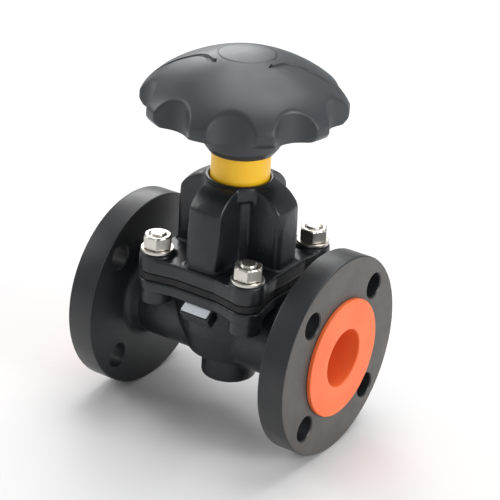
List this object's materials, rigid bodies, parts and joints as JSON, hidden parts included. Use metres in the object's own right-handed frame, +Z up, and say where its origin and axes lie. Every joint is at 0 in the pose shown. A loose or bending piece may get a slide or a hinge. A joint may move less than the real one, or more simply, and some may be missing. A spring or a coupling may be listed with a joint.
{
  "type": "diaphragm valve",
  "caption": "Flanged weir-type diaphragm valve with an orange lined bore, a lobed cast bonnet, a yellow open-position sleeve and a domed scalloped handwheel that rises as it opens.",
  "frame": {"origin": "on the spindle axis, level with the lowest point of the two line flanges", "axes": "+X along the pipe towards the outlet flange, +Z up along the spindle, +Y across the pipe"},
  "size_m": [0.165, 0.127, 0.2393],
  "materials": {
    "black_coating": "satin black epoxy coating on cast iron",
    "orange_lining": "smooth moulded orange lining",
    "white_plate": "blank satin white plate",
    "black_rubber": "matte moulded rubber",
    "steel": "machined stainless steel",
    "bronze": "machined bronze",
    "grey_iron": "bare grey iron",
    "yellow_plastic": "smooth yellow moulding",
    "black_plastic": "satin black moulding"
  },
  "bodies": {
    "valve": {"valve_body": "black_coating", "inlet_flange": "black_coating", "outlet_flange": "black_coating", "body_lining": "orange_lining", "inlet_lining": "orange_lining", "outlet_lining": "orange_lining", "data_plate": "white_plate", "diaphragm": "black_rubber", "bonnet": "black_coating", "bonnet_stud_1": "steel", "bonnet_stud_2": "steel", "bonnet_stud_3": "steel", "bonnet_stud_4": "steel", "bonnet_washer_1": "steel", "bonnet_washer_2": "steel", "bonnet_washer_3": "steel", "bonnet_washer_4": "steel", "bonnet_nut_1": "steel", "bonnet_nut_2": "steel", "bonnet_nut_3": "steel", "bonnet_nut_4": "steel", "spindle_bush": "bronze", "spindle_o_ring": "black_rubber", "indicator_sleeve": "yellow_plastic"},
    "compressor": {"compressor": "grey_iron", "thrust_washer": "bronze", "collar_retainer": "steel", "diaphragm_stud": "steel"},
    "wheel": {"spindle": "steel", "handwheel": "black_plastic", "handwheel_washer": "steel", "handwheel_nut": "steel", "handwheel_cap": "black_plastic"}
  },
  "joints": [
    {"name": "lift", "type": "slide", "parent": "valve", "child": "compressor", "axis": [0, 0, 1], "range_m": [-0.016, 0], "deforming": ["diaphragm"]},
    {"name": "wheel_turn", "type": "hinge", "parent": "compressor", "child": "wheel", "pos_m": [0, 0, 0.2], "axis": [0, 0, 1], "range_deg": [-1440, 0]}
  ],
  "couplings": [
    {"joint": "lift", "follows": "wheel_turn", "m_per_rad": 0.0006366}
  ]
}
